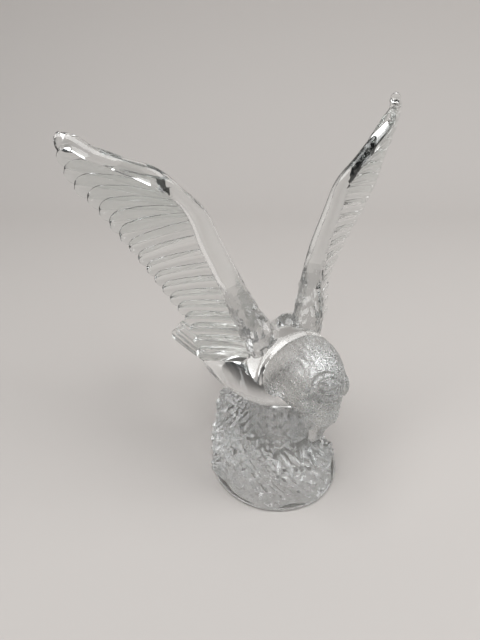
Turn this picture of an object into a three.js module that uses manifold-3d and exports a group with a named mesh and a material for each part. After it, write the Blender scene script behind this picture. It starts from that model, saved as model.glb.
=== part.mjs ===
// A clear crystal eagle on a rock, wings raised, head bowed over the front of the rock with its
// face turned to its left.
// It is one casting, so every form below is joined into one closed solid.
// Millimetres, +Z up. The eagle looks along -Y, and the origin is the middle of the underside.
import * as THREE from "three";
import { mergeVertices } from "three/addons/utils/BufferGeometryUtils.js";
import Module from "manifold-3d";

const wasm = await Module();
wasm.setup();

// Rock, in millimetres
const ROCK_HALF_WIDTH = 44;
const ROCK_HALF_LENGTH = 46;
const ROCK_SHIFT_SIDE = -3;
const ROCK_SHIFT_FRONT = 2;
const ROCK_RIM_HEIGHT = 2.5;
const ROCK_RIM_LIP = 0.8;
const ROCK_FRONT_HEIGHT = 31;
const ROCK_LEFT_HEIGHT = 34;
const ROCK_RIGHT_HEIGHT = 56;
const ROCK_BACK_HEIGHT = 48;
const ROCK_PEAK_RISE = 9;
const ROCK_SEAT_HEIGHT = 62;
const ROCK_LEAN_BACK = 9;
const ROCK_GROOVE_DEPTH = 1.6;

// Body, neck and head. Heights are measured up from the rock's seat.
const BODY_LENGTH = 94;
const BODY_HEIGHT = ROCK_SEAT_HEIGHT + 23;
const BODY_HALF_WIDTH = 30;
const BODY_HALF_DEPTH = 26;
const NECK_REACH = 55;
const NECK_HEIGHT = ROCK_SEAT_HEIGHT + 37;
const NECK_HALF_WIDTH = 26;
const NECK_HALF_DEPTH = 24;
const HEAD_HALF_WIDTH = 18;
const HEAD_HALF_DEPTH = 15.5;
const HEAD_SHIFT = 4.5;
const FACE_TURN = 1.03;
const BEAK_LENGTH = 20;
const BEAK_HALF_WIDTH = 5.5;
const EYE_RADIUS = 3;

// Legs and feet
const LEG_MIDDLE = -5;
const LEG_SPREAD = 9.5;
const LEG_FRONT = 12;
const HIP_HEIGHT = ROCK_SEAT_HEIGHT + 18;
const THIGH_RADIUS = 11.5;
const TOE_RADIUS = 3.4;
const TOE_LENGTH = 16;
const TALON_LENGTH = 7;

// Tail fan
const TAIL_FEATHERS = 9;
const TAIL_REACH = 109;
const TAIL_ARC = 16;
const TAIL_HALF_WIDTH = 39.5;
const TAIL_HALF_THICKNESS = 3.8;
const TAIL_ROOT_FRONT = -26;
const TAIL_ROOT_HEIGHT = ROCK_SEAT_HEIGHT + 11;
const TAIL_END_HEIGHT = ROCK_SEAT_HEIGHT + 12;

// Wings, each measured out from the eagle's middle and up from its shoulder
const WING_REACH = 113;
const WING_RISE = 142.5;
const SHOULDER_HEIGHT = ROCK_SEAT_HEIGHT + 34;
const WING_ROOT_FRONT = -1.2;
const MANTLE_HEIGHT = ROCK_SEAT_HEIGHT + 42;
const MANTLE_FRONT = -8;
const MANTLE_RADIUS = 10;
const WING_SWEEP = 0.28;
const WING_BAR_HALF_WIDTH = 6.4;
const PRIMARIES = 7;
const SECONDARIES = 11;
const FEATHER_HALF_WIDTH = 5.4;
const FEATHER_HALF_THICKNESS = 1.7;
const FEATHER_EDGE = 0.45;
const FEATHER_TURN = 0.13;

// A point from its distance to the eagle's left, to the front and up from the table.
const at = (side, front, up) => new THREE.Vector3(side, -front, up);

// A closed skin through rings that all have the same number of points, with a point at each end.
function skin(rings, first, last) {
  const count = rings[0].length;
  const points = [first, ...rings.flat(), last];
  const faces = [];
  const end = points.length - 1;
  for (let i = 0; i < count; i += 1) {
    const next = (i + 1) % count;
    const top = 1 + (rings.length - 1) * count;
    faces.push(0, 1 + next, 1 + i);
    faces.push(end, top + i, top + next);
    for (let ring = 0; ring < rings.length - 1; ring += 1) {
      const low = 1 + ring * count;
      const high = low + count;
      faces.push(low + i, low + next, high + next);
      faces.push(low + i, high + next, high + i);
    }
  }
  const geometry = new THREE.BufferGeometry().setFromPoints(points);
  geometry.setIndex(faces);
  return geometry;
}

// The geometry as a solid for joining. A skin that came out inside out is turned round.
function solidOf(geometry) {
  const bare = geometry.clone();
  bare.deleteAttribute("normal");
  bare.deleteAttribute("uv");
  const merged = mergeVertices(bare, 1e-4);
  const corners = new Uint32Array(merged.index.array);
  const vertices = merged.attributes.position.array;
  const make = () =>
    new wasm.Manifold(
      new wasm.Mesh({ numProp: 3, vertProperties: vertices, triVerts: corners }),
    );
  const solid = make();
  if (solid.volume() > 0) return solid;
  for (let i = 0; i < corners.length; i += 3) {
    [corners[i + 1], corners[i + 2]] = [corners[i + 2], corners[i + 1]];
  }
  return make();
}

// The same geometry on the eagle's other side.
function mirrored(geometry) {
  const other = geometry.clone();
  other.scale(-1, 1, 1);
  return other;
}

// An oval section: unit points, flattened a little towards a box as the power grows.
function oval(sides, power = 2) {
  const points = [];
  for (let i = 0; i < sides; i += 1) {
    const angle = (2 * Math.PI * (i + 0.5)) / sides;
    const across = Math.cos(angle);
    const up = Math.sin(angle);
    points.push([
      Math.sign(across) * Math.abs(across) ** (2 / power),
      Math.sign(up) * Math.abs(up) ** (2 / power),
    ]);
  }
  return points;
}

// A feather's section: thin edges and a raised shaft on both faces.
function vane(edge) {
  return [
    [1, -edge],
    [1, edge],
    [0, 1],
    [-1, edge],
    [-1, -edge],
    [0, -1],
  ];
}

// A rounded form along a smooth path. Each station is [point, half width, half depth].
// "across" is the direction in which the half width is measured.
function limb(stations, across, section, steps, cap = 0.12, turn = 0) {
  const path = new THREE.CatmullRomCurve3(stations.map((s) => s[0]));
  const sizes = new THREE.CatmullRomCurve3(
    stations.map((s) => new THREE.Vector3(s[1], s[2], 0)),
    false,
    "catmullrom",
  );
  const rings = [];
  for (let step = 1; step < steps; step += 1) {
    const share = (1 - Math.cos((Math.PI * step) / steps)) / 2;
    const fromEnd = Math.min(share, 1 - share);
    const round = fromEnd < cap ? Math.sqrt(1 - (1 - fromEnd / cap) ** 2) : 1;
    const size = sizes.getPoint(share);
    const along = path.getTangent(share);
    const up = new THREE.Vector3().crossVectors(along, across).normalize();
    const side = new THREE.Vector3().crossVectors(up, along).normalize();
    if (turn) {
      side.applyAxisAngle(along, turn);
      up.applyAxisAngle(along, turn);
    }
    const middle = path.getPoint(share);
    rings.push(
      section.map(([x, y]) =>
        middle
          .clone()
          .addScaledVector(side, x * size.x * round)
          .addScaledVector(up, y * size.y * round),
      ),
    );
  }
  return skin(rings, path.getPoint(0), path.getPoint(1));
}

const ACROSS = new THREE.Vector3(1, 0, 0);
const UPWARDS = new THREE.Vector3(0, 0, 1);

// How much of a swell of the given width lies at an angle away from its middle.
const swell = (angle, middle, width) => {
  const away = Math.abs(Math.atan2(Math.sin(angle - middle), Math.cos(angle - middle)));
  return away < width ? (1 + Math.cos((Math.PI * away) / width)) / 2 : 0;
};

// Height of the rock's ledge all round. Angle 0 is the front, and it grows to the eagle's left.
function ledgeHeight(angle) {
  const front = Math.max(0, Math.cos(angle)) ** 2 * ROCK_FRONT_HEIGHT;
  const back = Math.max(0, -Math.cos(angle)) ** 2 * ROCK_BACK_HEIGHT;
  const left = Math.max(0, Math.sin(angle)) ** 2 * ROCK_LEFT_HEIGHT;
  const right = Math.max(0, -Math.sin(angle)) ** 2 * ROCK_RIGHT_HEIGHT;
  return front + back + left + right + ROCK_PEAK_RISE * swell(angle, -2.2, 0.7);
}

// The rough block under the eagle: a steep grooved side, a ledge and a seat for the body.
function rock() {
  const columns = 40;
  const levels = 11;
  const WALL_SHARE = 0.72;
  const rings = [];
  for (let level = 0; level <= levels; level += 1) {
    const rise = level / levels;
    const ring = [];
    for (let column = 0; column < columns; column += 1) {
      const angle = (2 * Math.PI * column) / columns;
      const wall = Math.min(1, rise / WALL_SHARE);
      const shelf = Math.max(0, (rise - WALL_SHARE) / (1 - WALL_SHARE));
      const top = ledgeHeight(angle);
      let up = ROCK_RIM_HEIGHT + (top - ROCK_RIM_HEIGHT) * wall;
      up += (ROCK_SEAT_HEIGHT - top) * shelf;
      const climb = up / ROCK_SEAT_HEIGHT;
      const groove =
        Math.sin(6 * angle + 8.7 * climb) + 0.6 * Math.sin(10 * angle + 12.4 * climb + 1.3);
      const lean = 1 - 0.2 * wall ** 2 - 0.72 * shelf;
      const rough = ROCK_GROOVE_DEPTH * (groove * (1 - 0.6 * shelf) - 0.3);
      const middle = -ROCK_LEAN_BACK * (wall * 0.4 + shelf * 0.6);
      const width = ROCK_HALF_WIDTH * lean + rough;
      const length = ROCK_HALF_LENGTH * lean + rough;
      ring.push(
        at(
          ROCK_SHIFT_SIDE + middle * 0.5 + width * Math.sin(angle),
          ROCK_SHIFT_FRONT + middle + length * Math.cos(angle),
          up,
        ),
      );
    }
    rings.push(ring);
  }
  const rim = (up) =>
    rings[0].map((_, column) => {
      const angle = (2 * Math.PI * column) / columns;
      return at(
        ROCK_SHIFT_SIDE + (ROCK_HALF_WIDTH + ROCK_RIM_LIP) * Math.sin(angle),
        ROCK_SHIFT_FRONT + (ROCK_HALF_LENGTH + ROCK_RIM_LIP) * Math.cos(angle),
        up,
      );
    });
  return skin(
    [rim(0), rim(ROCK_RIM_HEIGHT), ...rings],
    at(ROCK_SHIFT_SIDE, ROCK_SHIFT_FRONT, 0),
    at(
      ROCK_SHIFT_SIDE - ROCK_LEAN_BACK / 2,
      ROCK_SHIFT_FRONT - ROCK_LEAN_BACK,
      ROCK_SEAT_HEIGHT,
    ),
  );
}

// Torso from the root of the tail to the breast, low over the rock. Each row is the place along the
// body, its height, and the half width and half depth there, as shares of the body's sizes.
function torso() {
  const rows = [
    [-0.617, 0.871, 0.95, 0.2],
    [-0.426, 0.871, 1.17, 0.42],
    [-0.213, 0.929, 1.17, 0.84],
    [0, 1, 1.03, 1],
    [0.149, 1.047, 0.9, 0.88],
    [0.277, 1.082, 0.7, 0.68],
    [0.383, 1.106, 0.4, 0.35],
  ];
  const stations = rows.map(([front, up, width, depth]) => [
    at(0, front * BODY_LENGTH, up * BODY_HEIGHT),
    width * BODY_HALF_WIDTH,
    depth * BODY_HALF_DEPTH,
  ]);
  return limb(stations, ACROSS, oval(20, 2.2), 17, 0.1);
}

// A point of the neck or head, as shares of how far forward and how high they reach. The first
// share is how much of the head's shift to the eagle's right the point takes.
const alongNeck = (shift, front, up, side = 0) =>
  at(side - shift * HEAD_SHIFT, front * NECK_REACH, up * NECK_HEIGHT);

// Neck and head: an arch that rises from the shoulders and bows forward and down.
function neck() {
  const stations = [
    [alongNeck(0, -0.327, 0.889), NECK_HALF_WIDTH * 0.8, NECK_HALF_DEPTH * 0.667],
    [alongNeck(0, 0, 0.919), NECK_HALF_WIDTH * 1.05, NECK_HALF_DEPTH * 0.958],
    [alongNeck(0, 0.309, 0.98), NECK_HALF_WIDTH * 1.03, NECK_HALF_DEPTH],
    [alongNeck(0.2, 0.564, 0.995), NECK_HALF_WIDTH * 0.94, NECK_HALF_DEPTH * 0.833],
    [alongNeck(0.5, 0.764, 0.934), HEAD_HALF_WIDTH * 1.06, HEAD_HALF_DEPTH * 1.03],
    [alongNeck(0.7, 0.891, 0.848), HEAD_HALF_WIDTH * 0.56, HEAD_HALF_DEPTH * 0.77],
    [alongNeck(1, 0.945, 0.768), HEAD_HALF_WIDTH * 0.38, HEAD_HALF_DEPTH * 0.4],
  ];
  return limb(stations, ACROSS, oval(20), 17, 0.1);
}

// The hooked beak. The face is turned to the eagle's left, so the beak's ridge lies on that side
// and its thinner lower half on the other. Each row is forward and up from the face in beak
// lengths, then the half width and half depth.
function beak() {
  const half = (rows, section, steps, cap) =>
    limb(
      rows.map(([front, up, width, depth]) => [
        at(0, front * BEAK_LENGTH, up * BEAK_LENGTH)
          .applyAxisAngle(UPWARDS, FACE_TURN)
          .add(alongNeck(0.2, 0.938, 0.83)),
        width * BEAK_HALF_WIDTH,
        depth * BEAK_HALF_WIDTH,
      ]),
      ACROSS.clone().applyAxisAngle(UPWARDS, FACE_TURN),
      section,
      steps,
      cap,
    );
  const upper = [
    [-0.35, 0.4, 1.6, 1.4],
    [-0.12, 0, 1.3, 1.25],
    [-0.22, -0.4, 1, 0.95],
    [-0.3, -0.75, 0.75, 0.75],
    [-0.42, -1.05, 0.3, 0.3],
  ];
  const lower = [
    [-0.42, 0.1, 1.1, 0.9],
    [-0.46, -0.2, 0.9, 0.6],
    [-0.48, -0.5, 0.5, 0.4],
  ];
  return [half(upper, oval(10, 1.8), 9, 0.08), half(lower, oval(8), 5, 0.12)];
}

// One eye under its brow. Each row is the place as shares of the head's half width, the neck's
// reach and the neck's height, then the half width and half depth.
function eye(ball, brow) {
  const form = (rows, across, sides, steps, cap) =>
    limb(
      rows.map(([side, front, up, width, depth]) => [
        alongNeck(1, front, up, side * HEAD_HALF_WIDTH),
        width * EYE_RADIUS,
        depth * EYE_RADIUS,
      ]),
      across,
      oval(sides),
      steps,
      cap,
    );
  return [form(ball, ACROSS, 8, 5, 0.5), form(brow, UPWARDS, 7, 7, 0.2)];
}

// The face is turned, so its right eye looks up and out to the front and its left eye down and out
// to the side.
const rightEye = [
  [
    [-0.08, 0.87, 1.082, 1.2, 1.1],
    [-0.06, 0.912, 1.056, 1.4, 1.2],
    [-0.04, 0.944, 1.026, 1.2, 1.1],
  ],
  [
    [-0.42, 0.87, 1.08, 0.5, 0.5],
    [-0.17, 0.86, 1.107, 0.8, 0.8],
    [0.28, 0.865, 1.108, 0.85, 0.8],
    [0.68, 0.91, 1.05, 0.5, 0.5],
  ],
];
const leftEye = [
  [
    [1.06, 0.785, 0.99, 1.1, 1.2],
    [1.08, 0.81, 0.965, 1.2, 1.4],
    [1.04, 0.835, 0.94, 1.1, 1.2],
  ],
  [
    [1, 0.745, 1.035, 0.5, 0.5],
    [1.07, 0.818, 1.022, 0.8, 0.8],
    [1.02, 0.89, 0.987, 0.85, 0.8],
    [0.86, 0.94, 0.935, 0.5, 0.5],
  ],
];

// One feathered leg with its foot on the front of the rock. "side" is 1 for the eagle's left leg
// and -1 for its right one.
function leg(side) {
  const middle = LEG_MIDDLE + side * LEG_SPREAD;
  const ground = ROCK_FRONT_HEIGHT + 1;
  const down = (front, up, width, depth) => [
    at(middle, LEG_FRONT + front * THIGH_RADIUS, up),
    width * THIGH_RADIUS,
    depth * THIGH_RADIUS,
  ];
  const thigh = [
    down(-1.04, HIP_HEIGHT, 0.8, 0.8),
    down(-0.35, HIP_HEIGHT * 0.825, 1, 1.05),
    down(0.09, HIP_HEIGHT * 0.65, 1.1, 1.15),
    down(0.44, ground + THIGH_RADIUS * 0.7, 0.8, 0.85),
    down(0.61, ground, 0.5, 0.5),
    down(0.61, ground - THIGH_RADIUS * 0.7, 0.4, 0.4),
  ];
  const forms = [limb(thigh, ACROSS, oval(12), 12, 0.08)];
  for (const turn of [-0.5, 0, 0.5, Math.PI]) {
    const reach = turn === Math.PI ? TOE_LENGTH * 0.6 : TOE_LENGTH;
    const toe = (share, up, width, depth = width) => [
      at(
        middle + Math.sin(turn) * reach * share,
        LEG_FRONT + THIGH_RADIUS * 0.78 + Math.cos(turn) * reach * share,
        ground + up * TOE_RADIUS,
      ),
      width * TOE_RADIUS,
      depth * TOE_RADIUS,
    ];
    const hook = 1 + (TALON_LENGTH * 0.5) / reach;
    const stations = [
      toe(-0.1, 0.3, 1),
      toe(0.35, 0.65, 1),
      toe(0.75, 0, 0.9),
      toe(1, -0.74, 0.7),
      toe(hook, -1.62, 0.42, 0.5),
      toe(hook, -0.88 - TALON_LENGTH / TOE_RADIUS, 0.12),
    ];
    const across = new THREE.Vector3(Math.cos(turn), Math.sin(turn), 0);
    forms.push(limb(stations, across, oval(6), 7, 0.08));
  }
  return forms;
}

// The tail: long feathers that fan out from under the back and end on a shallow arc.
function tail() {
  const forms = [];
  const middle = (TAIL_FEATHERS - 1) / 2;
  for (let i = 0; i < TAIL_FEATHERS; i += 1) {
    const spread = (i - middle) / middle;
    const halfWidth = (TAIL_HALF_WIDTH / TAIL_FEATHERS) * 1.35;
    const tip = at(
      (TAIL_HALF_WIDTH - halfWidth) * spread,
      -TAIL_REACH + TAIL_ARC * spread ** 2,
      TAIL_END_HEIGHT,
    );
    const root = at(
      BODY_HALF_WIDTH * 0.8 * spread,
      TAIL_ROOT_FRONT,
      TAIL_ROOT_HEIGHT,
    );
    const way = (share) => root.clone().lerp(tip, share);
    forms.push(
      limb(
        [
          [way(0), halfWidth * 0.7, TAIL_HALF_THICKNESS],
          [way(0.35), halfWidth * 0.85, TAIL_HALF_THICKNESS],
          [way(0.7), halfWidth, TAIL_HALF_THICKNESS],
          [way(1), halfWidth, TAIL_HALF_THICKNESS * 0.9],
        ],
        ACROSS,
        vane(0.62),
        6,
        0.06,
        0.1 * Math.sign(spread),
      ),
    );
  }
  return forms;
}

// A point of the wing, as shares of its reach and rise. The wing sweeps back as it goes out, and
// the last share is how far the point lies behind that sheet.
function inWing(out, rise, back) {
  const side = out * WING_REACH;
  const front = WING_ROOT_FRONT - WING_SWEEP * side - back * WING_REACH;
  return at(side, front, SHOULDER_HEIGHT + rise * WING_RISE);
}

// The wing's front bar runs up the arm to the wrist and out along the hand, and curls forward on
// the way. Each row is a point of the wing, and the bar's half depth and half width there.
const wingBar = [
  [0.062, -0.028, -0.116, 1.41, 1.64],
  [0.097, 0.048, -0.114, 1.44, 1.7],
  [0.169, 0.164, -0.079, 1.42, 1.69],
  [0.225, 0.275, -0.032, 1.12, 1.38],
  [0.296, 0.43, -0.002, 0.81, 1.12],
  [0.387, 0.599, -0.014, 0.72, 1.02],
  [0.444, 0.714, -0.026, 0.66, 0.83],
  [0.54, 0.808, -0.065, 0.53, 0.61],
  [0.649, 0.884, -0.092, 0.52, 0.73],
  [0.774, 0.931, -0.078, 0.47, 0.59],
  [0.859, 0.959, -0.037, 0.45, 0.55],
  [0.934, 0.996, 0.008, 0.47, 0.67],
  [0.985, 0.997, 0.046, 0.61, 0.81],
];

// The line of the feather tips, from the wing's tip down to the body.
const wingTips = [
  [0.997, 0.971, 0],
  [0.968, 0.881, -0.003],
  [0.893, 0.794, -0.007],
  [0.817, 0.684, -0.023],
  [0.733, 0.566, -0.013],
  [0.645, 0.445, 0.021],
  [0.566, 0.333, 0.044],
  [0.501, 0.238, 0.05],
  [0.477, 0.147, 0.032],
  [0.465, 0.063, 0.014],
];

function wing() {
  const barLine = new THREE.CatmullRomCurve3(wingBar.map((row) => inWing(...row)));
  const tipLine = new THREE.CatmullRomCurve3(wingTips.map((row) => inWing(...row)));
  const bar = limb(
    wingBar.map(([out, rise, back, depth, width]) => [
      inWing(out, rise, back),
      WING_BAR_HALF_WIDTH * depth,
      WING_BAR_HALF_WIDTH * width,
    ]),
    new THREE.Vector3(0, 1, 0),
    oval(8),
    20,
    0.03,
  );
  const forms = [bar];
  const face = new THREE.Vector3(WING_SWEEP, -1, 0).normalize();
  const count = PRIMARIES + SECONDARIES;
  for (let i = 0; i < count; i += 1) {
    const tip = tipLine.getPointAt(i / (count - 1));
    const primary = i < PRIMARIES;
    const order = primary ? i / PRIMARIES : (i - PRIMARIES) / (SECONDARIES - 1);
    const root = barLine.getPointAt(primary ? 0.68 - 0.13 * order : 0.55 - 0.5 * order);
    const along = tip.clone().sub(root);
    const bend = new THREE.Vector3(0, 0, (primary ? 0.04 : 0.02) * along.length());
    const way = (share) =>
      root
        .clone()
        .addScaledVector(along, share)
        .addScaledVector(bend, Math.sin(Math.PI * share));
    forms.push(
      limb(
        [
          [way(0), FEATHER_HALF_WIDTH * 0.9, FEATHER_HALF_THICKNESS],
          [way(0.4), FEATHER_HALF_WIDTH, FEATHER_HALF_THICKNESS],
          [way(0.75), FEATHER_HALF_WIDTH, FEATHER_HALF_THICKNESS * 0.9],
          [way(1), FEATHER_HALF_WIDTH * 0.8, FEATHER_HALF_THICKNESS * 0.7],
        ],
        new THREE.Vector3().crossVectors(face, along).normalize(),
        vane(FEATHER_EDGE),
        6,
        0.14,
        FEATHER_TURN,
      ),
    );
  }
  return forms;
}

// The back between the wings swells up into the root of each wing. Each row is to the side, to the
// front and up from the middle of the mantle, and the half width, as shares of its radius.
function mantle() {
  const side = [
    [1.5, 0.45, 1.5, 0.8],
    [0.8, 0.2, 0.6, 0.95],
  ];
  const rows = [...side, [0, 0, 0.15, 1], ...side.toReversed().map(([out, ...rest]) => [-out, ...rest])];
  return limb(
    rows.map(([out, front, up, size]) => [
      at(out * MANTLE_RADIUS, MANTLE_FRONT + front * MANTLE_RADIUS, MANTLE_HEIGHT + up * MANTLE_RADIUS),
      size * MANTLE_RADIUS,
      size * MANTLE_RADIUS * 0.9,
    ]),
    new THREE.Vector3(0, 1, 0),
    oval(8),
    11,
    0.16,
  );
}

const left = wing();
const forms = [
  rock(),
  torso(),
  mantle(),
  neck(),
  ...beak(),
  ...eye(...rightEye),
  ...eye(...leftEye),
  ...leg(1),
  ...leg(-1),
  ...tail(),
  ...left,
  ...left.map(mirrored),
];

let eagle = solidOf(forms[0]);
for (const form of forms.slice(1)) eagle = eagle.add(solidOf(form));

// Air shut in between the forms is filled, because the casting is solid glass there.
const skins = eagle.decompose().filter((shell) => shell.volume() > 0);
eagle = skins.slice(1).reduce((sum, shell) => sum.add(shell), skins[0]);

const mesh = eagle.getMesh();
const geometry = new THREE.BufferGeometry();
geometry.setAttribute("position", new THREE.BufferAttribute(mesh.vertProperties, 3));
geometry.setIndex(new THREE.BufferAttribute(mesh.triVerts, 1));
const crystal = new THREE.MeshStandardMaterial({ color: 0xe9efef, roughness: 0.05, metalness: 0 });
const figure = new THREE.Mesh(geometry, crystal);
figure.name = "crystal_eagle";
const group = new THREE.Group();
group.add(figure);
export default group;
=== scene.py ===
# %% [markdown]
# # A clear crystal eagle with raised wings
# One casting of clear glass: a rough rock, feathered legs, a smooth body, a stippled neck and
# bowed head, a fanned tail and two raised wings. The fixed frame gives its size and place. Every
# form here repeats the sizes of the solid and adds the finer relief, and all of them join into one
# closed skin, so that light bends through it as it does through one block of glass. One sculpted
# mesh could show the same, but forms with named sizes are easy to change and stay true to the
# solid. All sizes are in millimetres. The eagle looks along -Y, and the origin is the middle of
# the underside.

# %% Frame and tools
import math
import bmesh
import bpy
import numpy as np
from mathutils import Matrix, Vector


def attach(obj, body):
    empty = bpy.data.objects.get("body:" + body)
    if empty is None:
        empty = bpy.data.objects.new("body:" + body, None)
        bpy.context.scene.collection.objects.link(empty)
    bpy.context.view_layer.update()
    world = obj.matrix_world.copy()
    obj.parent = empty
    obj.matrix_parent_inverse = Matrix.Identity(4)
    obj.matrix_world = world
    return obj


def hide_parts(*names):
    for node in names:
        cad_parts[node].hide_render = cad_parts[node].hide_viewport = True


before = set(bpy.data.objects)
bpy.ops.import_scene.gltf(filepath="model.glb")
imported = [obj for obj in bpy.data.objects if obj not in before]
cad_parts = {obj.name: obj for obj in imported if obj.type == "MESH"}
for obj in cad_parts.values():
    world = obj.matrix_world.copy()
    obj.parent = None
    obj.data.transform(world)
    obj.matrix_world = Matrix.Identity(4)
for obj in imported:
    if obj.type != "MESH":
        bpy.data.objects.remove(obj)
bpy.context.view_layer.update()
scene = bpy.context.scene
MM = 0.001

# %% [markdown]
# ## Paths and skins
# The real thing is all rounded forms: body, limbs and wing bars. They could be sculpted, or grown
# from subdivided boxes. Here each is a run of sections along a smooth path through a few stations,
# rounded off at both ends, because stations are easy to measure, and the skin is always closed,
# which the join at the end needs.

# %% Points and smooth paths
def at(side, front, up):
    """A point so far to the eagle's left, so far ahead and so far up."""
    return np.array([side, -front, up], float)


def unit(v):
    return v / np.linalg.norm(v, axis=-1, keepdims=True)


def root_gap(p, q):
    """Square roots of the gaps between points, which keep a curve from overshooting."""
    return np.maximum(np.linalg.norm(q - p, axis=1, keepdims=True), 1e-8) ** 0.5


def cubic(points, share, centripetal=True):
    """Point of the smooth curve through the points, at each share of its course."""
    points = np.asarray(points, float)
    share = np.atleast_1d(np.asarray(share, float))
    padded = np.vstack([2 * points[0] - points[1], points, 2 * points[-1] - points[-2]])
    place = share * (len(points) - 1)
    index = np.clip(np.floor(place).astype(int), 0, len(points) - 2)
    t = (place - index)[:, None]
    a, b, c, d = (padded[index + k] for k in range(4))
    if centripetal:
        ab, bc, cd = (root_gap(p, q) for p, q in ((a, b), (b, c), (c, d)))
        start = ((b - a) / ab - (c - a) / (ab + bc) + (c - b) / bc) * bc
        end = ((c - b) / bc - (d - b) / (bc + cd) + (d - c) / cd) * bc
    else:
        start, end = (c - a) / 2, (d - b) / 2
    return (
        b
        + start * t
        + (-3 * b + 3 * c - 2 * start - end) * t ** 2
        + (2 * b - 2 * c + start + end) * t ** 3
    )


def even(points, share):
    """The same curve, at shares of its length."""
    fine = np.linspace(0, 1, 201)
    line = cubic(points, fine)
    run = np.concatenate([[0], np.cumsum(np.linalg.norm(np.diff(line, axis=0), axis=1))])
    return cubic(points, np.interp(np.atleast_1d(share) * run[-1], run, fine))


def turned(v, axis, angle):
    """A direction or a point, turned round an axis through the origin."""
    return (
        v * math.cos(angle)
        + np.cross(axis, v) * math.sin(angle)
        + axis * np.sum(axis * v, axis=-1, keepdims=True) * (1 - math.cos(angle))
    )


# %% Skins
def skin(rings, first, last):
    """Points and faces of the closed surface through rings of points, with a point at each end."""
    rings = np.asarray(rings, float)
    count = rings.shape[1]
    points = np.vstack([first, rings.reshape(-1, 3), last])
    turn = np.arange(count)
    after = (turn + 1) % count
    faces = []
    for level in range(len(rings) - 1):
        low = 1 + level * count
        high = low + count
        faces += np.stack([low + turn, low + after, high + after, high + turn], 1).tolist()
    top = 1 + (len(rings) - 1) * count
    faces += [[0, 1 + b, 1 + a] for a, b in zip(turn, after)]
    faces += [[len(points) - 1, top + a, top + b] for a, b in zip(turn, after)]
    return outward(points, faces)


def outward(points, faces):
    """Turns every face round if the closed surface is inside out."""
    volume = 0.0
    for f in faces:
        for k in range(1, len(f) - 1):
            volume += np.dot(points[f[0]], np.cross(points[f[k]], points[f[k + 1]]))
    return points, faces if volume > 0 else [f[::-1] for f in faces]


def oval(sides, power=2):
    """Unit section: round, and flattened a little towards a box as the power grows."""
    angle = 2 * np.pi * (np.arange(sides) + 0.5) / sides
    c, s = np.cos(angle), np.sin(angle)
    return np.stack([np.sign(c) * abs(c) ** (2 / power), np.sign(s) * abs(s) ** (2 / power)], 1)


def limb(stations, across, section, steps, cap, relief=None):
    """A rounded form along a smooth path. Each station is (point, half width, half depth)."""
    path = [s[0] for s in stations]
    sizes = [[s[1], s[2]] for s in stations]
    share = (1 - np.cos(np.pi * np.arange(1, steps) / steps)) / 2
    from_end = np.minimum(share, 1 - share)
    dome = np.sqrt(np.clip(1 - (1 - np.minimum(from_end / cap, 1)) ** 2, 0, 1))
    size = cubic(sizes, share, centripetal=False)
    middle = cubic(path, share)
    step = 1e-4
    ahead, behind = np.minimum(share + step, 1), np.maximum(share - step, 0)
    along = unit(cubic(path, ahead) - cubic(path, behind))
    up = unit(np.cross(along, across))
    side = unit(np.cross(up, along))
    x = section[None, :, 0, None] * (size[:, 0] * dome)[:, None, None]
    y = section[None, :, 1, None] * (size[:, 1] * dome)[:, None, None]
    rings = middle[:, None] + side[:, None] * x + up[:, None] * y
    if relief:
        out = unit(rings - middle[:, None])
        rings = rings + out * relief(rings)[..., None]
    return skin(rings, cubic(path, 0)[0], cubic(path, 1)[0])


def mirrored(form):
    """The same form on the eagle's other side."""
    points, faces = form
    return points * [-1, 1, 1], [f[::-1] for f in faces]


ACROSS = np.array([1.0, 0, 0])
BACKWARDS = np.array([0, 1.0, 0])
UPWARDS = np.array([0, 0, 1.0])

# %% [markdown]
# ## Glass
# The real glass is clear all through, and only its skin differs: polished on bars and flanks,
# stippled on neck and head, rough on the rock. Painted maps could show that. Plain values for
# transmission and bending of light are enough for clear glass, and one shared group of nodes gives
# each skin its uneven roughness and soft bump, so that the three finishes differ only by numbers.

# %% Materials
def cast_surface():
    """Node group: fine unevenness of cast glass, as a roughness and a bump height."""
    tree = bpy.data.node_groups.new("Cast surface", "ShaderNodeTree")
    for name in ("Scale", "Smoothest", "Roughest"):
        tree.interface.new_socket(name, in_out="INPUT", socket_type="NodeSocketFloat")
    for name in ("Roughness", "Height"):
        tree.interface.new_socket(name, in_out="OUTPUT", socket_type="NodeSocketFloat")
    given = tree.nodes.new("NodeGroupInput")
    result = tree.nodes.new("NodeGroupOutput")
    place = tree.nodes.new("ShaderNodeTexCoord")
    noise = tree.nodes.new("ShaderNodeTexNoise")
    noise.inputs["Detail"].default_value = 3
    spread = tree.nodes.new("ShaderNodeMapRange")
    spread.inputs["From Min"].default_value = 0.3
    spread.inputs["From Max"].default_value = 0.7
    link = tree.links.new
    link(place.outputs["Object"], noise.inputs["Vector"])
    link(given.outputs["Scale"], noise.inputs["Scale"])
    link(noise.outputs["Fac"], spread.inputs["Value"])
    link(given.outputs["Smoothest"], spread.inputs["To Min"])
    link(given.outputs["Roughest"], spread.inputs["To Max"])
    link(spread.outputs["Result"], result.inputs["Roughness"])
    link(noise.outputs["Fac"], result.inputs["Height"])
    return tree


CAST = cast_surface()
GLASS_IOR = 1.53
BUMP_HEIGHT = 0.0005


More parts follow.
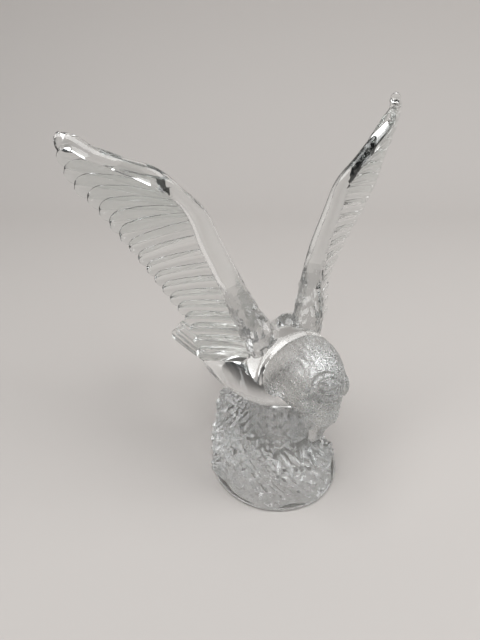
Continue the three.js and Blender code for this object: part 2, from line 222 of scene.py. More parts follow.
def crystal(name, tint, scale, smoothest, roughest, bump):
    """Clear glass with an uneven surface: its grain per metre, its roughness and its bump."""
    made = bpy.data.materials.new(name)
    made.use_nodes = True
    nodes = made.node_tree.nodes
    shader = nodes["Principled BSDF"]
    shader.inputs["Base Color"].default_value = (tint, tint * 1.012, tint * 1.006, 1)
    shader.inputs["Metallic"].default_value = 0
    shader.inputs["IOR"].default_value = GLASS_IOR
    shader.inputs["Transmission Weight"].default_value = 1
    group = nodes.new("ShaderNodeGroup")
    group.node_tree = CAST
    for title, value in (("Scale", scale), ("Smoothest", smoothest), ("Roughest", roughest)):
        group.inputs[title].default_value = value
    uneven = nodes.new("ShaderNodeBump")
    uneven.inputs["Strength"].default_value = bump
    uneven.inputs["Distance"].default_value = BUMP_HEIGHT
    link = made.node_tree.links.new
    link(group.outputs["Roughness"], shader.inputs["Roughness"])
    link(group.outputs["Height"], uneven.inputs["Height"])
    link(uneven.outputs["Normal"], shader.inputs["Normal"])
    return made


POLISHED = crystal("Polished crystal", tint=0.95, scale=60, smoothest=0, roughest=0.03, bump=0.05)
STIPPLED = crystal(
    "Stippled crystal", tint=0.72, scale=900, smoothest=0.16, roughest=0.44, bump=0.45
)
ROUGH = crystal("Rough cast crystal", tint=0.72, scale=400, smoothest=0, roughest=0.04, bump=0.6)
FINISHES = [POLISHED, STIPPLED, ROUGH]
POLISH, STIPPLE, CAST_ROUGH = range(3)
print("finishes:", [m.name for m in FINISHES])

# %% [markdown]
# ## Nodes that grow relief
# The rock and the stipple carry the marks of the mould: chips a few millimetres wide, with a finer
# grain on them. They could be sculpted, or displaced by the material, but an export drops that. A
# small tree of Geometry Nodes moves the points themselves, and one attribute, the cover, says
# where.

# %% Tree helpers
def new_tree(name, sockets):
    tree = bpy.data.node_groups.new(name, "GeometryNodeTree")
    tree.interface.new_socket("Geometry", in_out="INPUT", socket_type="NodeSocketGeometry")
    for title, kind, value in sockets:
        socket = tree.interface.new_socket(title, in_out="INPUT", socket_type=kind)
        if value is not None:
            socket.default_value = value
    tree.interface.new_socket("Geometry", in_out="OUTPUT", socket_type="NodeSocketGeometry")
    return tree, tree.nodes.new("NodeGroupInput"), tree.nodes.new("NodeGroupOutput")


def node(tree, kind, settings=None, **links):
    """A new node. Its inputs are linked or set by their names, or by place as i0, i1 and so on."""
    made = tree.nodes.new(kind)
    for key, value in (settings or {}).items():
        setattr(made, key, value)
    for title, source in links.items():
        by_place = title[0] == "i" and title[1:].isdigit()
        slot = int(title[1:]) if by_place else title.replace("_", " ")
        if isinstance(source, bpy.types.NodeSocket):
            tree.links.new(source, made.inputs[slot])
        else:
            made.inputs[slot].default_value = source
    return made


def math_node(tree, operation, *values):
    inputs = {f"i{k}": value for k, value in enumerate(values)}
    return node(tree, "ShaderNodeMath", {"operation": operation}, **inputs).outputs[0]


def vector_node(tree, operation, first, second):
    made = node(tree, "ShaderNodeVectorMath", {"operation": operation}, i0=first)
    slot = made.inputs[3 if operation == "SCALE" else 1]
    if isinstance(second, bpy.types.NodeSocket):
        tree.links.new(second, slot)
    else:
        slot.default_value = second
    return made.outputs[0]


def attribute(tree, name, kind):
    return node(tree, "GeometryNodeInputNamedAttribute", {"data_type": kind}, Name=name).outputs[0]


def finish_tree(tree, given, result, geometry):
    smooth = node(tree, "GeometryNodeSetShadeSmooth", Geometry=geometry)
    real = node(tree, "GeometryNodeRealizeInstances", Geometry=smooth.outputs[0])
    material = given.outputs["Material"]
    coated = node(tree, "GeometryNodeSetMaterial", Geometry=real.outputs[0], Material=material)
    tree.links.new(coated.outputs[0], result.inputs[0])
    return tree


# %% Relief tree
BEND_SCALE = 70.0
MEAN_CHIP = 0.35
MEAN_NOISE = 0.5
GRAIN_SHARE = 0.5
CHIP_ROUNDING = 0.1


def relief_tree():
    """Moves each point along its normal, by chips and a finer grain, as far as its cover allows."""
    tree, given, result = new_tree(
        "Cast relief",
        [
            ("Depth", "NodeSocketFloat", 0.001),
            ("Chips", "NodeSocketFloat", 200.0),
            ("Grain", "NodeSocketFloat", 600.0),
            ("Warp", "NodeSocketFloat", 0.004),
            ("Stretch", "NodeSocketVector", (1, 1, 1)),
            ("Seed", "NodeSocketFloat", 3.0),
            ("Material", "NodeSocketMaterial", None),
        ],
    )
    place = node(tree, "GeometryNodeInputPosition").outputs[0]
    seeded = {"noise_dimensions": "4D"}
    seed = given.outputs["Seed"]
    bends = node(tree, "ShaderNodeTexNoise", seeded, Vector=place, W=seed, Scale=BEND_SCALE)
    bend = vector_node(tree, "SUBTRACT", bends.outputs["Color"], [MEAN_NOISE] * 3)
    bent = vector_node(tree, "ADD", place, vector_node(tree, "SCALE", bend, given.outputs["Warp"]))
    drawn = vector_node(tree, "MULTIPLY", bent, given.outputs["Stretch"])
    chips = node(
        tree,
        "ShaderNodeTexVoronoi",
        {"feature": "SMOOTH_F1"},
        Vector=drawn,
        Scale=given.outputs["Chips"],
        Smoothness=CHIP_ROUNDING,
    )
    size = given.outputs["Grain"]
    grain = node(tree, "ShaderNodeTexNoise", seeded, Vector=drawn, W=seed, Scale=size)
    low = math_node(tree, "SUBTRACT", MEAN_CHIP, chips.outputs["Distance"])
    fine = math_node(tree, "SUBTRACT", grain.outputs[0], MEAN_NOISE)
    height = math_node(tree, "ADD", low, math_node(tree, "MULTIPLY", fine, GRAIN_SHARE))
    full = math_node(tree, "MULTIPLY", height, given.outputs["Depth"])
    depth = math_node(tree, "MULTIPLY", full, attribute(tree, "cover", "FLOAT"))
    normal = node(tree, "GeometryNodeInputNormal").outputs[0]
    offset = vector_node(tree, "SCALE", normal, depth)
    moved = node(tree, "GeometryNodeSetPosition", Geometry=given.outputs["Geometry"], Offset=offset)
    return finish_tree(tree, given, result, moved.outputs[0])


RELIEF = relief_tree()
print("tree:", RELIEF.name, "with", len(RELIEF.nodes), "nodes")

# %% [markdown]
# ## Nodes that grow feathers
# A long feather is a thin vane with a raised shaft down its middle and rounded ends. Each could be
# a form of its own, but a tree that sweeps one section along every line it is given makes a whole
# row at once. Each line carries its own half widths and the direction across the feather.

# %% Feather tree
VANE_MIDDLE = 0.86
SHAFT_RISE = 0.14
SECTION_POINTS = 28


def feather_tree():
    """Sweeps a vane with thin edges and a raised shaft along each line, as wide as it says."""
    tree, given, result = new_tree(
        "Feather row",
        [
            ("Thickness", "NodeSocketFloat", 0.3),
            ("Edge", "NodeSocketFloat", 0.45),
            ("Shaft", "NodeSocketFloat", 0.16),
            ("Material", "NodeSocketMaterial", None),
        ],
    )
    edge = given.outputs["Edge"]
    ring = node(tree, "GeometryNodeCurvePrimitiveCircle", Resolution=SECTION_POINTS, Radius=1.0)
    place = node(tree, "GeometryNodeInputPosition").outputs[0]
    parts = node(tree, "ShaderNodeSeparateXYZ", Vector=place)
    out = math_node(tree, "ABSOLUTE", parts.outputs[0])
    ratio = math_node(tree, "DIVIDE", out, given.outputs["Shaft"])
    shaft = math_node(tree, "MAXIMUM", math_node(tree, "SUBTRACT", 1.0, ratio), 0.0)
    slope = math_node(tree, "SUBTRACT", VANE_MIDDLE, edge)
    vane = math_node(tree, "MULTIPLY", slope, math_node(tree, "SUBTRACT", 1.0, out))
    ridge = math_node(tree, "MULTIPLY", shaft, SHAFT_RISE)
    tall = math_node(tree, "ADD", math_node(tree, "ADD", vane, edge), ridge)
    side = math_node(tree, "SIGN", parts.outputs[1])
    signed = math_node(tree, "MULTIPLY", tall, side)
    flat = math_node(tree, "MULTIPLY", signed, given.outputs["Thickness"])
    section = node(tree, "ShaderNodeCombineXYZ", X=parts.outputs[0], Y=flat).outputs[0]
    profile = node(tree, "GeometryNodeSetPosition", Geometry=ring.outputs[0], Position=section)
    lines = node(tree, "GeometryNodeMeshToCurve", Mesh=given.outputs["Geometry"])
    facing = node(
        tree,
        "GeometryNodeSetCurveNormal",
        {"mode": "FREE"},
        Curve=lines.outputs[0],
        Normal=attribute(tree, "across", "FLOAT_VECTOR"),
    )
    swept = node(
        tree,
        "GeometryNodeCurveToMesh",
        Curve=facing.outputs[0],
        Profile_Curve=profile.outputs[0],
        Scale=attribute(tree, "half_width", "FLOAT"),
        Fill_Caps=True,
    )
    return finish_tree(tree, given, result, swept.outputs[0])


FEATHER = feather_tree()
print("tree:", FEATHER.name, "with", len(FEATHER.nodes), "nodes")

# %% [markdown]
# ## From trees to plain meshes
# The casting is joined at the end, and a join needs plain closed meshes. The modifiers could stay
# on live objects, but then each change would run every tree again. So a tree runs once on a bare
# mesh, its result is read back as points and faces, and the modifier comes off.

# %% Grown meshes
def set_values(modifier, values):
    """Sets the tree's inputs by their identifiers."""
    inputs = [s for s in modifier.node_group.interface.items_tree if s.in_out == "INPUT"]
    sockets = {s.name: s.identifier for s in inputs}
    for title, value in values.items():
        modifier[sockets[title]] = value


def plain_mesh(carrier):
    """The mesh that an object's modifier makes, as a plain mesh."""
    bpy.context.view_layer.update()
    evaluated = carrier.evaluated_get(bpy.context.evaluated_depsgraph_get())
    return bpy.data.meshes.new_from_object(evaluated)


def grown(points, tree, values, faces=(), edges=(), attributes=()):
    """Points and faces that the tree makes, as plain lists in millimetres."""
    start = bpy.data.meshes.new("start")
    start.from_pydata((np.asarray(points) * MM).tolist(), list(edges), faces)
    for title, kind, numbers in attributes:
        numbers = np.asarray(numbers, float)
        layer = start.attributes.new(title, kind, "POINT")
        layer.data.foreach_set("vector" if kind == "FLOAT_VECTOR" else "value", numbers.ravel())
    start.update()
    carrier = bpy.data.objects.new("start", start)
    scene.collection.objects.link(carrier)
    modifier = carrier.modifiers.new(tree.name, "NODES")
    modifier.node_group = tree
    set_values(modifier, values)
    made = plain_mesh(carrier)
    carrier.modifiers.remove(modifier)
    places = np.empty(len(made.vertices) * 3)
    made.vertices.foreach_get("co", places)
    corners = [list(p.vertices) for p in made.polygons]
    bpy.data.objects.remove(carrier)
    bpy.data.meshes.remove(made)
    bpy.data.meshes.remove(start)
    return outward(places.reshape(-1, 3) / MM, corners)


def roughened(form, finish, cover, depth, chips, grain, warp, stretch=(1, 1, 1), seed=3):
    """The form with relief as deep as said where the cover is 1. Chips and grain are per metre."""
    points, faces = form
    values = {
        "Depth": depth * MM,
        "Chips": chips,
        "Grain": grain,
        "Warp": warp * MM,
        "Seed": seed,
        "Stretch": stretch,
        "Material": FINISHES[finish],
    }
    return grown(points, RELIEF, values, faces=faces, attributes=[("cover", "FLOAT", cover)])


def feather_row(shafts, thickness, edge):
    """Feathers along shaft lines. Each is its points, its half widths and the way across it."""
    points, edges, halves, sides = [], [], [], []
    for line, half, across in shafts:
        first = len(points)
        points += list(line)
        edges += [(first + k, first + k + 1) for k in range(len(line) - 1)]
        halves += list(half * MM)
        sides += [across] * len(line)
    attributes = [("half_width", "FLOAT", halves), ("across", "FLOAT_VECTOR", sides)]
    values = {"Thickness": thickness, "Edge": edge, "Material": POLISHED}
    return grown(points, FEATHER, values, edges=edges, attributes=attributes)


# %% [markdown]
# ## Rock
# A steep wall with long grooves that lean as they climb, a ledge, and a seat for the body. The
# wall is chipped all over, and a thin smooth rim runs round its foot. Random cuts in a block could
# make a rock, but not this one. So the wall is a grid of rings that keeps the measured outline,
# and the chips come from the relief tree.

# %% Rock
ROCK_HALF_WIDTH = 44
ROCK_HALF_LENGTH = 46
ROCK_SHIFT_SIDE = -3
ROCK_SHIFT_FRONT = 2
ROCK_RIM_HEIGHT = 2.5
ROCK_RIM_LIP = 0.8
ROCK_FRONT_HEIGHT = 31
ROCK_LEFT_HEIGHT = 34
ROCK_RIGHT_HEIGHT = 56
ROCK_BACK_HEIGHT = 48
ROCK_PEAK_RISE = 9
ROCK_SEAT_HEIGHT = 62
ROCK_LEAN_BACK = 9
ROCK_GROOVE_DEPTH = 1.6
ROCK_RIDGE_DEPTH = 1.8
ROCK_WALL_LEAN = 0.2
ROCK_LEDGE_REACH = 0.72
ROCK_PEAK_ANGLE = -2.2
ROCK_PEAK_SPREAD = 0.7
ROCK_RIDGES = 24
ROCK_RIDGE_WIND = 30
RIM_FADE = 3

# How many grooves go round, how far they wind on the way up, where they start and how deep.
ROCK_GROOVES = [(6, 8.7, 0, 1), (10, 12.4, 1.3, 0.6)]


def away(angle, middle):
    """How far an angle is from another, the shorter way round."""
    return abs(np.arctan2(np.sin(angle - middle), np.cos(angle - middle)))


def swell(angle, middle, width):
    """1 at the middle angle, falling softly to 0 at the given width."""
    gap = away(angle, middle)
    return np.where(gap < width, (1 + np.cos(np.pi * gap / width)) / 2, 0)


def ledge_height(angle):
    """The height of the ledge all round: each side has its own, and one corner has a peak."""
    front = np.maximum(0, np.cos(angle)) ** 2 * ROCK_FRONT_HEIGHT
    back = np.maximum(0, -np.cos(angle)) ** 2 * ROCK_BACK_HEIGHT
    left = np.maximum(0, np.sin(angle)) ** 2 * ROCK_LEFT_HEIGHT
    right = np.maximum(0, -np.sin(angle)) ** 2 * ROCK_RIGHT_HEIGHT
    sides = front + back + left + right
    return sides + ROCK_PEAK_RISE * swell(angle, ROCK_PEAK_ANGLE, ROCK_PEAK_SPREAD)


def rock(columns=270, levels=100, wall_share=0.72):
    """Rings that climb the wall to the ledge and run inwards to the seat of the body."""
    angle = 2 * np.pi * np.arange(columns) / columns
    rise = (np.arange(levels + 1) / levels)[:, None]
    wall = np.minimum(1, rise / wall_share)
    shelf = np.maximum(0, (rise - wall_share) / (1 - wall_share))
    top = ledge_height(angle)[None]
    up = ROCK_RIM_HEIGHT + (top - ROCK_RIM_HEIGHT) * wall + (ROCK_SEAT_HEIGHT - top) * shelf
    climb = up / ROCK_SEAT_HEIGHT
    groove = sum(
        deep * np.sin(count * angle + wind * climb + start)
        for count, wind, start, deep in ROCK_GROOVES
    )
    waver = 1.8 * np.sin(5 * angle + 9 * climb)
    fine = abs(np.sin(ROCK_RIDGES * angle + ROCK_RIDGE_WIND * climb + waver)) ** 0.6
    lean = 1 - ROCK_WALL_LEAN * wall ** 2 - ROCK_LEDGE_REACH * shelf
    rough = ROCK_GROOVE_DEPTH * (groove * (1 - 0.6 * shelf) - 0.3)
    rough = rough - ROCK_RIDGE_DEPTH * fine * np.minimum(1, rise * 8)
    middle = -ROCK_LEAN_BACK * (wall * 0.4 + shelf * 0.6)
    width = ROCK_HALF_WIDTH * lean + rough
    length = ROCK_HALF_LENGTH * lean + rough
    sides = ROCK_SHIFT_SIDE + middle * 0.5 + width * np.sin(angle)
    fronts = ROCK_SHIFT_FRONT + middle + length * np.cos(angle)
    wall_rings = np.stack([sides, -fronts, up + 0 * angle], 2)

    def rim(height, out):
        side = ROCK_SHIFT_SIDE + (ROCK_HALF_WIDTH + out) * np.sin(angle)
        front = ROCK_SHIFT_FRONT + (ROCK_HALF_LENGTH + out) * np.cos(angle)
        return np.stack([side, -front, np.full(columns, height)], 1)

    lip, high = ROCK_RIM_LIP, ROCK_RIM_HEIGHT
    rings = [rim(0, -0.4), rim(0.3, 0.3), rim(1, lip), rim(high - 0.5, lip), rim(high, lip - 0.6)]
    foot = at(ROCK_SHIFT_SIDE, ROCK_SHIFT_FRONT, 0)
    lean_side, lean_front = ROCK_LEAN_BACK / 2, ROCK_LEAN_BACK
    seat = at(ROCK_SHIFT_SIDE - lean_side, ROCK_SHIFT_FRONT - lean_front, ROCK_SEAT_HEIGHT)
    return skin(np.vstack([np.array(rings), wall_rings]), foot, seat)


bare = rock()
above_rim = np.clip((bare[0][:, 2] - ROCK_RIM_HEIGHT - 0.5) / RIM_FADE, 0, 1)
ROCK = roughened(
    bare, CAST_ROUGH, above_rim, depth=4.6, chips=250, grain=620, warp=9, stretch=(1, 1, 0.55)
)
print("rock faces:", len(ROCK[1]))

# %% [markdown]
# ## Body and mantle
# The body is a smooth egg that thins towards the tail, and a soft collar, the mantle, crosses both
# wing roots. Metaballs would melt the two together, but don't keep measured sizes. Two limbs do,
# and the join makes them one.

# %% Body and mantle
BODY_LENGTH = 94
BODY_HEIGHT = ROCK_SEAT_HEIGHT + 23
BODY_HALF_WIDTH = 30
BODY_HALF_DEPTH = 26
MANTLE_HEIGHT = ROCK_SEAT_HEIGHT + 42
MANTLE_FRONT = -8
MANTLE_RADIUS = 10
MANTLE_FLATNESS = 0.9


def torso():
    """Rows are front, up, half width and half depth, as shares of the body's own."""
    rows = [
        [-0.617, 0.871, 0.95, 0.2],
        [-0.426, 0.871, 1.17, 0.42],
        [-0.213, 0.929, 1.17, 0.84],
        [0, 1, 1.03, 1],
        [0.149, 1.047, 0.9, 0.88],
        [0.277, 1.082, 0.7, 0.68],
        [0.383, 1.106, 0.4, 0.35],
    ]
    stations = [
        (at(0, f * BODY_LENGTH, u * BODY_HEIGHT), w * BODY_HALF_WIDTH, d * BODY_HALF_DEPTH)
        for f, u, w, d in rows
    ]
    return limb(stations, ACROSS, oval(96, 2.2), steps=72, cap=0.1)


def mantle():
    """One soft collar across the roots of both wings."""
    side = [[1.5, 0.45, 1.5, 0.8], [0.8, 0.2, 0.6, 0.95]]
    rows = side + [[0, 0, 0.15, 1]] + [[-row[0], *row[1:]] for row in side[::-1]]
    r = MANTLE_RADIUS
    stations = [
        (at(o * r, MANTLE_FRONT + f * r, MANTLE_HEIGHT + u * r), w * r, w * r * MANTLE_FLATNESS)
        for o, f, u, w in rows
    ]
    return limb(stations, BACKWARDS, oval(40), steps=60, cap=0.16)


# %% [markdown]
# ## Neck and head
# Neck and head are one bowed form, smooth behind and stippled in front, with a shallow groove
# where the stipple starts. A bump alone could show the stipple, but its outline would stay smooth.
# So the relief tree moves the points, and the groove is part of the limb.

# %% Neck and head
NECK_REACH = 55
NECK_HEIGHT = ROCK_SEAT_HEIGHT + 37
NECK_HALF_WIDTH = 26
NECK_HALF_DEPTH = 24
HEAD_HALF_WIDTH = 18
HEAD_HALF_DEPTH = 15.5
HEAD_SHIFT = 4.5
STIPPLE_FRONT = 18
STIPPLE_FADE = 2
STIPPLE_EDGE_DEPTH = 1.5
STIPPLE_EDGE_WIDTH = 1.6


def along_neck(shift, front, up, side=0):
    """A place on the neck, as shares of its reach and height. The head stands a little aside."""
    return at(side - shift * HEAD_SHIFT, front * NECK_REACH, up * NECK_HEIGHT)


def neck():
    w, d, hw, hd = NECK_HALF_WIDTH, NECK_HALF_DEPTH, HEAD_HALF_WIDTH, HEAD_HALF_DEPTH
    stations = [
        (along_neck(0, -0.327, 0.889), w * 0.8, d * 0.667),
        (along_neck(0, 0, 0.919), w * 1.05, d * 0.958),
        (along_neck(0, 0.309, 0.98), w * 1.03, d),
        (along_neck(0.2, 0.564, 0.995), w * 0.94, d * 0.833),
        (along_neck(0.5, 0.764, 0.934), hw * 1.06, hd * 1.03),
        (along_neck(0.7, 0.891, 0.848), hw * 0.56, hd * 0.77),
        (along_neck(1, 0.945, 0.768), hw * 0.38, hd * 0.4),
    ]
    return limb(stations, ACROSS, oval(180), steps=150, cap=0.1, relief=stipple_edge)


def stipple_edge(points):
    """A shallow groove all round the neck, where the stipple ends."""
    reach = (-points[..., 1] - STIPPLE_FRONT) / STIPPLE_EDGE_WIDTH
    return -STIPPLE_EDGE_DEPTH * np.exp(-reach ** 2)


plain_neck = neck()
stippled = np.clip((-plain_neck[0][:, 1] - STIPPLE_FRONT) / STIPPLE_FADE, 0, 1)
NECK = roughened(plain_neck, STIPPLE, stippled, depth=0.8, chips=480, grain=900, warp=2, seed=8)
neck_finish = [STIPPLE if -NECK[0][f[0], 1] > STIPPLE_FRONT else POLISH for f in NECK[1]]
print("neck faces:", len(NECK[1]))

# %% [markdown]
# ## Beak and eyes
# The face is turned to the eagle's left, with a hooked beak, two eyes and heavy brows. They could
# be pulled out of the head's own mesh, but that would need many more points all over it. Small
# forms set on the head have the points that they need, and their places are shares of the head's
# size.

# %% Beak
FACE_TURN = 1.03
BEAK_LENGTH = 20
BEAK_HALF_WIDTH = 5.5
EYE_RADIUS = 3


def beak():
    """The hooked upper half and the short lower half, turned with the face."""
    base, wide = along_neck(0.2, 0.938, 0.83), BEAK_HALF_WIDTH
    turn = UPWARDS, FACE_TURN

    def half(rows, section, steps, cap):
        stations = [
            (base + turned(at(0, f * BEAK_LENGTH, u * BEAK_LENGTH), *turn), w * wide, d * wide)
            for f, u, w, d in rows
        ]
        return limb(stations, turned(ACROSS, *turn), section, steps, cap)

    upper = [
        [-0.35, 0.4, 1.6, 1.4],
        [-0.12, 0, 1.3, 1.25],
        [-0.22, -0.4, 1, 0.95],
        [-0.3, -0.75, 0.75, 0.75],
        [-0.42, -1.05, 0.3, 0.3],
    ]
    lower = [
        [-0.42, 0.1, 1.1, 0.9],
        [-0.46, -0.2, 0.9, 0.6],
        [-0.48, -0.5, 0.5, 0.4],
    ]
    return [
        half(upper, oval(36, 1.8), steps=32, cap=0.08),
        half(lower, oval(28), steps=18, cap=0.12),
    ]


# %% Eyes, brows and lids
def on_head(rows, across, sides, steps, cap):
    """Rows are side, front and up on the head, and a half width and depth in eye radii."""
    stations = [
        (along_neck(1, f, u, s * HEAD_HALF_WIDTH), w * EYE_RADIUS, d * EYE_RADIUS)
        for s, f, u, w, d in rows
    ]
    return limb(stations, across, oval(sides), steps, cap)


EYES = [
    [
        [-0.08, 0.87, 1.082, 1.2, 1.1],
        [-0.06, 0.912, 1.056, 1.4, 1.2],
        [-0.04, 0.944, 1.026, 1.2, 1.1],
    ],
    [
        [1.06, 0.785, 0.99, 1.1, 1.2],
        [1.08, 0.81, 0.965, 1.2, 1.4],
        [1.04, 0.835, 0.94, 1.1, 1.2],
    ],
]
BROWS = [
    [
        [-0.42, 0.87, 1.08, 0.5, 0.5],
        [-0.17, 0.86, 1.107, 0.8, 0.8],
        [0.28, 0.865, 1.108, 0.85, 0.8],
        [0.68, 0.91, 1.05, 0.5, 0.5],
    ],
    [
        [1, 0.745, 1.035, 0.5, 0.5],
        [1.07, 0.818, 1.022, 0.8, 0.8],
        [1.02, 0.89, 0.987, 0.85, 0.8],
        [0.86, 0.94, 0.935, 0.5, 0.5],
    ],
]
LIDS = [
    [
        [-0.22, 0.925, 1.06, 0.4, 0.4],
        [-0.02, 0.972, 1.035, 0.45, 0.45],
        [0.34, 0.962, 1.032, 0.45, 0.45],
        [0.66, 0.925, 1.03, 0.4, 0.4],
    ],
]
FACE = beak()
FACE += [on_head(rows, ACROSS, sides=28, steps=20, cap=0.5) for rows in EYES]
FACE += [on_head(rows, UPWARDS, sides=24, steps=28, cap=0.2) for rows in BROWS + LIDS]
print("face forms:", len(FACE))

# %% [markdown]
# ## Legs and feet
# Each thigh carries rows of scale feathers, and each foot holds the rock with four toes and hooked
# talons. Every scale could be a feather of its own, but the mould makes them as steps in one skin.
# So a repeated step in the limb's own surface is closer to the real thing, and lighter.

# %% Legs and feet
LEG_MIDDLE = -5
LEG_SPREAD = 9.5
LEG_FRONT = 12
HIP_HEIGHT = ROCK_SEAT_HEIGHT + 18
THIGH_RADIUS = 11.5
TOE_RADIUS = 3.4
TOE_LENGTH = 16
TALON_LENGTH = 7
SCALE_TURNS = 1.9
SCALE_HEIGHT = 6
SCALE_DEPTH = 1.3
SCALE_ROOT_DEPTH = 0.5
TOE_TURNS = (-0.5, 0, 0.5, math.pi)


def leg(side):
    """A feathered thigh with its four toes, each ending in a hooked talon."""
    middle = LEG_MIDDLE + side * LEG_SPREAD
    ground = ROCK_FRONT_HEIGHT + 1

    def down(front, up, width, depth):
        place = at(middle, LEG_FRONT + front * THIGH_RADIUS, up)
        return place, width * THIGH_RADIUS, depth * THIGH_RADIUS

    def scales(points):
        """Rows of pointed scales, each lying over the one below."""
        turn = np.arctan2(points[..., 0] - middle, -points[..., 1] - LEG_FRONT)
        point = abs((turn * SCALE_TURNS) % 1 - 0.5)
        row = (points[..., 2] / SCALE_HEIGHT + point) % 1
        return SCALE_DEPTH * row * (1 - point) - SCALE_ROOT_DEPTH

    thigh = [
        down(-1.04, HIP_HEIGHT, 0.8, 0.8),
        down(-0.35, HIP_HEIGHT * 0.825, 1, 1.05),
        down(0.09, HIP_HEIGHT * 0.65, 1.1, 1.15),
        down(0.44, ground + THIGH_RADIUS * 0.7, 0.8, 0.85),
        down(0.61, ground, 0.5, 0.5),
        down(0.61, ground - THIGH_RADIUS * 0.7, 0.4, 0.4),
    ]
    forms = [limb(thigh, ACROSS, oval(90), steps=100, cap=0.08, relief=scales)]
    for turn in TOE_TURNS:
        reach = TOE_LENGTH * 0.6 if turn == math.pi else TOE_LENGTH

        def toe(share, up, width, depth=None):
            place = at(
                middle + math.sin(turn) * reach * share,
                LEG_FRONT + THIGH_RADIUS * 0.78 + math.cos(turn) * reach * share,
                ground + up * TOE_RADIUS,
            )
            return place, width * TOE_RADIUS, (depth or width) * TOE_RADIUS

        hook = 1 + TALON_LENGTH * 0.5 / reach
        stations = [
            toe(-0.1, 0.3, 1),
            toe(0.35, 0.65, 1),
            toe(0.75, 0, 0.9),
            toe(1, -0.74, 0.7),
            toe(hook, -1.62, 0.42, 0.5),
            toe(hook, -0.88 - TALON_LENGTH / TOE_RADIUS, 0.12),
        ]
        across = np.array([math.cos(turn), math.sin(turn), 0])
        forms.append(limb(stations, across, oval(16), steps=24, cap=0.08))
    return forms


# %% [markdown]
# ## Wing bar
# A smooth bar runs up the arm to the wrist and out along the hand, cloudy and softly feathered on
# the arm. The wing could be a flat sheet cut to its outline, but the glass shows the bar as a
# round rod that bends the light. So it is a limb through measured stations, and the relief tree
# softens the arm.

# %% Wing lines
WING_REACH = 113
WING_RISE = 142.5
SHOULDER_HEIGHT = ROCK_SEAT_HEIGHT + 34
WING_ROOT_FRONT = -1.2
WING_SWEEP = 0.28
WING_BAR_HALF_WIDTH = 6.4


def in_wing(out, rise, back):
    """A place in the swept plane of the left wing, as shares of its reach and rise."""
    side = out * WING_REACH
    front = WING_ROOT_FRONT - WING_SWEEP * side - back * WING_REACH
    return at(side, front, SHOULDER_HEIGHT + rise * WING_RISE)


# Rows of out, rise and back. Those of the bar go on with its half width and half depth.
WING_BAR = [
    [0.062, -0.028, -0.116, 1.41, 1.64],
    [0.097, 0.048, -0.114, 1.44, 1.7],
    [0.169, 0.164, -0.079, 1.42, 1.69],
    [0.225, 0.275, -0.032, 1.12, 1.38],
    [0.296, 0.43, -0.002, 0.81, 1.12],
    [0.387, 0.599, -0.014, 0.72, 1.02],
    [0.444, 0.714, -0.026, 0.66, 0.83],
    [0.54, 0.808, -0.065, 0.53, 0.61],
    [0.649, 0.884, -0.092, 0.52, 0.73],
    [0.774, 0.931, -0.078, 0.47, 0.59],
    [0.859, 0.959, -0.037, 0.45, 0.55],
    [0.934, 0.996, 0.008, 0.47, 0.67],
    [0.985, 0.997, 0.046, 0.61, 0.81],
]
WING_TIPS = [
    [0.997, 0.971, 0],
    [0.968, 0.881, -0.003],
    [0.893, 0.794, -0.007],
    [0.817, 0.684, -0.023],
    [0.733, 0.566, -0.013],
    [0.645, 0.445, 0.021],
    [0.566, 0.333, 0.044],
    [0.501, 0.238, 0.05],
    [0.477, 0.147, 0.032],
    [0.465, 0.063, 0.014],
]
bar_line = [in_wing(*row[:3]) for row in WING_BAR]
tip_line = [in_wing(*row) for row in WING_TIPS]
print("wing lines:", len(bar_line), "stations on the bar,", len(tip_line), "at the tips")

# %% Wing bar
FLUFF_START = 0.02
FLUFF_TOP = 0.42
ARM_SHARE = 0.36


def wing_bar():
    """The smooth bar along the wing's front, with soft small feathers on the arm's lower part."""
    half = WING_BAR_HALF_WIDTH
    stations = [(in_wing(*row[:3]), half * row[3], half * row[4]) for row in WING_BAR]
    bar = limb(stations, BACKWARDS, oval(56), steps=150, cap=0.03)
    height = (bar[0][:, 2] - SHOULDER_HEIGHT) / WING_RISE
    starts = np.clip((height - FLUFF_START) / 0.05, 0, 1)
    ends = np.clip((FLUFF_TOP - height) / 0.12, 0, 1)
    return roughened(
        bar,
        POLISH,
        starts * ends,
        depth=1.8,
        chips=330,
        grain=800,
        warp=4,
        stretch=(1, 1, 0.5),
        seed=5,
    )


BAR = wing_bar()
arm_top = SHOULDER_HEIGHT + ARM_SHARE * WING_RISE
bar_finish = [CAST_ROUGH if BAR[0][f[0], 2] < arm_top else POLISH for f in BAR[1]]
print("bar faces:", len(BAR[1]))

# %% [markdown]
# ## Wing feathers
# Long feathers hang from the bar, wider and more fanned on the hand than on the arm. They could be
# placed one by one. Here a rule spaces their roots along the bar and their tips along a second
# line, so that their number can change, and the feather tree makes the vanes.

# %% Wing feathers
PRIMARIES = 7
SECONDARIES = 11
FEATHER_HALF_WIDTH = 5.4
FEATHER_HALF_THICKNESS = 1.7
FEATHER_EDGE = 0.45
FEATHER_TURN = 0.13
FEATHER_END = 0.14
BLUNT = 0.004
PRIMARY_WIDTHS = np.array([0.9, 1.05, 1.25, 1.25])
SECONDARY_WIDTHS = np.array([0.9, 1, 1.1, 1.05])
PRIMARY_BEND = 0.04
SECONDARY_BEND = 0.02
wing_face = unit(np.array([WING_SWEEP, -1, 0]))


def shaft(root, tip, rise, shares, cap, steps=30):
    """A feather's line and its half width along it: a soft bend and a rounded end."""
    share = (1 - np.cos(np.pi * np.arange(steps + 1) / steps)) / 2
    share = BLUNT + (1 - 2 * BLUNT) * share
    line = root + (tip - root) * share[:, None] + UPWARDS * (rise * np.sin(np.pi * share))[:, None]
    near = np.minimum(np.minimum(share, 1 - share) / cap, 1)
    half = np.interp(share, np.linspace(0, 1, len(shares)), shares)
    return line, half * np.sqrt(1 - (1 - near) ** 2)


